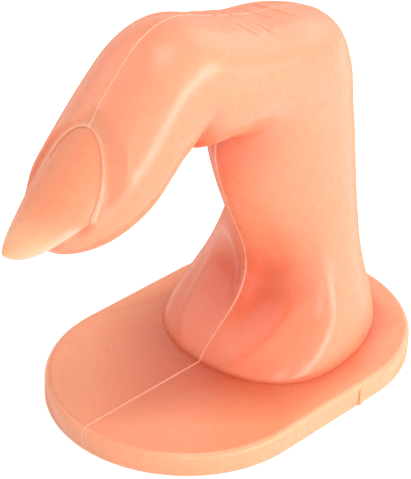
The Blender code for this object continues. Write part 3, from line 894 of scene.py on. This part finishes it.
def object_noise(nodes, links, scale, detail):
    """Noise on the piece's own coordinates, that many cells to a metre."""
    noise = nodes.new("ShaderNodeTexNoise")
    noise.inputs["Scale"].default_value = scale
    noise.inputs["Detail"].default_value = detail
    links.new(object_coordinates(nodes), noise.inputs["Vector"])
    return noise.outputs["Fac"]


def in_range(nodes, links, value, low, high, new_low, new_high):
    """The value turned from one range to another, smoothly and held at both ends."""
    turn = nodes.new("ShaderNodeMapRange")
    turn.interpolation_type = "SMOOTHSTEP"
    turn.inputs["From Min"].default_value = low
    turn.inputs["From Max"].default_value = high
    turn.inputs["To Min"].default_value = new_low
    turn.inputs["To Max"].default_value = new_high
    links.new(value, turn.inputs["Value"])
    return turn.outputs["Result"]


def mixed(nodes, links, share, first, second):
    """Mix of two colours by a share; each is a colour or another node's output."""
    mix = nodes.new("ShaderNodeMix")
    mix.data_type = "RGBA"
    links.new(share, mix.inputs["Factor"])
    for socket, color in (("A", first), ("B", second)):
        slot = [s for s in mix.inputs if s.name == socket and s.type == "RGBA"][0]
        if isinstance(color, bpy.types.NodeSocket):
            links.new(color, slot)
        else:
            slot.default_value = color
    return [s for s in mix.outputs if s.type == "RGBA"][0]


def add_bump(nodes, links, shader, height, distance, strength):
    """Fine relief of the surface, which bends the light and not the shape."""
    fine = nodes.new("ShaderNodeBump")
    fine.inputs["Distance"].default_value = distance
    fine.inputs["Strength"].default_value = strength
    links.new(height, fine.inputs["Height"])
    links.new(fine.outputs["Normal"], shader.inputs["Normal"])


def set_gloss(nodes, links, shader, cells, roughness):
    """Slightly uneven gloss that turns dull where the surface is seen edge on."""
    noise = object_noise(nodes, links, cells, GLOSS_DETAIL)
    gloss = in_range(nodes, links, noise, *GLOSS_NOISE, *roughness)
    weight = nodes.new("ShaderNodeLayerWeight")
    weight.inputs["Blend"].default_value = 0.5
    edge_on = in_range(nodes, links, weight.outputs["Facing"], EDGE_ON_START, EDGE_ON_END,
                       0, EDGE_ON_ROUGHNESS)
    links.new(reckoned(nodes, links, "MAXIMUM", gloss, edge_on), shader.inputs["Roughness"])


def set_plastic(shader, spread, reach, specular):
    """How far light spreads inside the plastic, and how strongly its surface shines."""
    shader.inputs["Subsurface Radius"].default_value = spread
    shader.inputs["Subsurface Scale"].default_value = reach
    shader.inputs["IOR"].default_value = PLASTIC_IOR
    shader.inputs["Specular IOR Level"].default_value = specular


def vinyl_skin():
    """Soft glossy peach vinyl: faint mottling, painted shade in the creases, hollows and under the
    finger, painted highlights on the lip and the wrinkles' rims, a painted glow on the plate,
    slightly uneven gloss.
    """
    made, nodes, links = new_material("soft_peach_vinyl")
    shader = nodes["Principled BSDF"]
    noise = object_noise(nodes, links, SKIN_MOTTLE_CELLS, MOTTLE_DETAIL)
    mottle = in_range(nodes, links, noise, *MOTTLE_NOISE, 0, 1)
    color = mixed(nodes, links, mottle, SKIN_COLOR, SKIN_PALE)
    axes = nodes.new("ShaderNodeSeparateXYZ")
    links.new(object_coordinates(nodes), axes.inputs["Vector"])
    on_plate = in_range(nodes, links, axes.outputs["Z"], PLATE_THICKNESS,
                        PLATE_THICKNESS + PLATE_COLOR_HEIGHT, 1, 0)
    # Painted glow: the plate is coloured paler and more orange than the finger
    color = mixed(nodes, links, on_plate, color, PLATE_GLOW_COLOR)
    # Painted shade colours, mixed in by the painted mark
    painted_shade_color = mixed(nodes, links, on_plate, SKIN_SHADE_COLOR, PLATE_SHADE_COLOR)
    painted_shade_and_highlight = painted(nodes, "painted_shade_and_highlight")
    color = mixed(nodes, links, painted_shade_and_highlight, color, painted_shade_color)
    # Painted highlight where the painted mark goes below 0, in the flash's pale colour
    painted_highlight = in_range(nodes, links, painted_shade_and_highlight, -1, 0, 1, 0)
    color = mixed(nodes, links, painted_highlight, color, FLASH_AND_HIGHLIGHT_COLOR)
    aside = reckoned(nodes, links, "ABSOLUTE", axes.outputs["X"])
    flash = in_range(nodes, links, aside, 0, FLASH_TINT_WIDTH, 1, 0)
    color = mixed(nodes, links, flash, color, FLASH_AND_HIGHLIGHT_COLOR)
    links.new(color, shader.inputs["Base Color"])
    set_gloss(nodes, links, shader, SKIN_GLOSS_CELLS, SKIN_ROUGHNESS)
    soft = in_range(nodes, links, painted_shade_and_highlight, SKIN_HARD_DEPTH, SKIN_SOFT_DEPTH, 0, SKIN_SOFTNESS)
    links.new(soft, shader.inputs["Subsurface Weight"])
    set_plastic(shader, SKIN_SPREAD, SKIN_SPREAD_REACH, SKIN_SPECULAR)
    return made


def nail_plastic():
    """Thin clear plastic over the flesh colour, fading to pale cream towards its free edge, with a
    painted glow along the free edge's rim.
    """
    made, nodes, links = new_material("natural_nail_plastic")
    shader = nodes["Principled BSDF"]
    along = nodes.new("ShaderNodeVectorMath")
    along.operation = "DOT_PRODUCT"
    along.inputs[1].default_value = NAIL_AXES.col[1].xyz
    links.new(object_coordinates(nodes), along.inputs[0])
    root = NAIL_AXES.translation.dot(NAIL_AXES.col[1].xyz)
    share = in_range(nodes, links, along.outputs["Value"], root + NAIL_FADE_START,
                     root + NAIL_FADE_END, 0, 1)
    color = mixed(nodes, links, share, NAIL_COLOR, NAIL_TIP_COLOR)
    # Painted glow of light along the free edge's rim
    color = mixed(nodes, links, painted(nodes, "edge"), color, NAIL_EDGE_GLOW_COLOR)
    links.new(color, shader.inputs["Base Color"])
    set_gloss(nodes, links, shader, NAIL_GLOSS_CELLS, NAIL_ROUGHNESS)
    shader.inputs["Subsurface Weight"].default_value = NAIL_SOFTNESS
    set_plastic(shader, NAIL_SPREAD, NAIL_SPREAD_REACH, NAIL_SPECULAR)
    grain = object_noise(nodes, links, NAIL_GRAIN_CELLS, MOTTLE_DETAIL)
    add_bump(nodes, links, shader, grain, NAIL_GRAIN_DEPTH, NAIL_GRAIN_STRENGTH)
    return made


# Camera, as the photograph was taken
CAMERA_AZIMUTH = math.radians(42.8004)
CAMERA_ELEVATION = math.radians(32.0362)
CAMERA_ROLL = math.radians(2.2459)
CAMERA_DISTANCE = 379.483 * MM
CAMERA_ASIDE = -4.32686 * MM
CAMERA_RAISED = 22.02697 * MM
CAMERA_NEAR_LIMIT = 10 * MM
FOCAL_PIXELS = 2130.326
PHOTO_HEIGHT_PIXELS = 479
SENSOR = 36


def direction_to(azimuth, elevation):
    """Direction from the finger to a place round it: azimuth from its front, and elevation."""
    return Vector((math.sin(azimuth) * math.cos(elevation),
                   -math.cos(azimuth) * math.cos(elevation), math.sin(elevation)))


def make_camera():
    """Camera where the photograph's perspective puts it."""
    back = direction_to(CAMERA_AZIMUTH, CAMERA_ELEVATION)
    level = Vector((math.cos(CAMERA_AZIMUTH), math.sin(CAMERA_AZIMUTH), 0))
    up = back.cross(level)
    right = level * math.cos(CAMERA_ROLL) + up * math.sin(CAMERA_ROLL)
    up = back.cross(right)
    data = bpy.data.cameras.new("photo_camera")
    data.sensor_width = SENSOR
    data.lens = SENSOR * FOCAL_PIXELS / PHOTO_HEIGHT_PIXELS
    data.clip_start = CAMERA_NEAR_LIMIT
    camera = bpy.data.objects.new("photo_camera", data)
    place = Matrix((right, up, back)).transposed().to_4x4()
    place.translation = back * CAMERA_DISTANCE + right * CAMERA_ASIDE + up * CAMERA_RAISED
    camera.matrix_world = place
    bpy.context.scene.collection.objects.link(camera)
    bpy.context.scene.camera = camera


# Lamps of the soft studio: azimuth round the finger and elevation in degrees, distance, width
# and height in metres, tilt in degrees and power in watts
LAMPS = {
    "side_strip": (100, 8, 0.75, 1.1, 0.16, 12, 5),
    "front_strip": (47, 16, 0.9, 0.14, 0.5, 0, 1.3),
    "top_softbox": (60, 75, 0.9, 0.5, 0.5, 0, 2.3),
    "left_softbox": (-60, 38, 0.9, 0.6, 0.6, 0, 1.4),
    "back_softbox": (172, 32, 0.9, 0.6, 0.6, 0, 1.6),
}
LAMP_TARGET = Vector((0, 0, 40 * MM))
AMBIENT_LEVEL = 0.42
AMBIENT_OVERHEAD = 0.58
FLOOR_HALF = 3
FLOOR_COLOR = (0.8, 0.8, 0.8, 1)
FLOOR_ROUGHNESS = 0.9
FLOOR_GLOW = 0.5


def make_lamps():
    """The softboxes of LAMPS, each turned to the middle of the finger."""
    for name, (azimuth, elevation, distance, width, height, tilt, power) in LAMPS.items():
        back = direction_to(math.radians(azimuth), math.radians(elevation))
        data = bpy.data.lights.new(name, "AREA")
        data.shape = "RECTANGLE"
        data.size, data.size_y = width, height
        data.energy = power
        lamp = bpy.data.objects.new(name, data)
        lamp.location = LAMP_TARGET + back * distance
        aim = back.to_track_quat("Z", "Y").to_matrix()
        lamp.rotation_euler = (aim @ Matrix.Rotation(math.radians(tilt), 3, "Z")).to_euler()
        bpy.context.scene.collection.objects.link(lamp)


def seen_directly(nodes, links):
    """1 for what the camera, a gloss or a clear piece shows, 0 for the light that falls."""
    path = nodes.new("ShaderNodeLightPath")
    last = path.outputs["Is Camera Ray"]
    for ray in ("Is Glossy Ray", "Is Transmission Ray"):
        last = reckoned(nodes, links, "MAXIMUM", last, path.outputs[ray])
    return last


def make_world():
    """Even white surroundings that the camera sees as plain white."""
    world = bpy.data.worlds.new("white_studio")
    world.use_nodes = True
    nodes, links = world.node_tree.nodes, world.node_tree.links
    sky = nodes.new("ShaderNodeTexCoord")
    axes = nodes.new("ShaderNodeSeparateXYZ")
    links.new(sky.outputs["Generated"], axes.inputs["Vector"])
    level = in_range(nodes, links, axes.outputs["Z"], 0, 1, AMBIENT_LEVEL, AMBIENT_OVERHEAD)
    strength = reckoned(nodes, links, "MAXIMUM", level, seen_directly(nodes, links))
    links.new(strength, nodes["Background"].inputs["Strength"])
    nodes["Background"].inputs["Color"].default_value = WHITE
    bpy.context.scene.world = world


def make_floor():
    """Pale floor that looks white and keeps the soft shadow."""
    bm = bmesh.new()
    bmesh.ops.create_grid(bm, x_segments=1, y_segments=1, size=FLOOR_HALF)
    floor = new_object("studio_floor", bm)
    made, nodes, links = new_material("white_floor")
    shader = nodes["Principled BSDF"]
    shader.inputs["Base Color"].default_value = FLOOR_COLOR
    shader.inputs["Roughness"].default_value = FLOOR_ROUGHNESS
    shader.inputs["Specular IOR Level"].default_value = 0
    shader.inputs["Emission Color"].default_value = WHITE
    glow = in_range(nodes, links, seen_directly(nodes, links), 0, 1, 0, FLOOR_GLOW)
    links.new(glow, shader.inputs["Emission Strength"])
    floor.data.materials.append(made)


def main():
    """Sets up the studio and dresses both pieces."""
    bpy.context.scene.view_settings.view_transform = "Standard"
    make_camera()
    make_lamps()
    make_world()
    make_floor()
    make_finger_body(vinyl_skin())
    make_nail_tip(nail_plastic())


main()
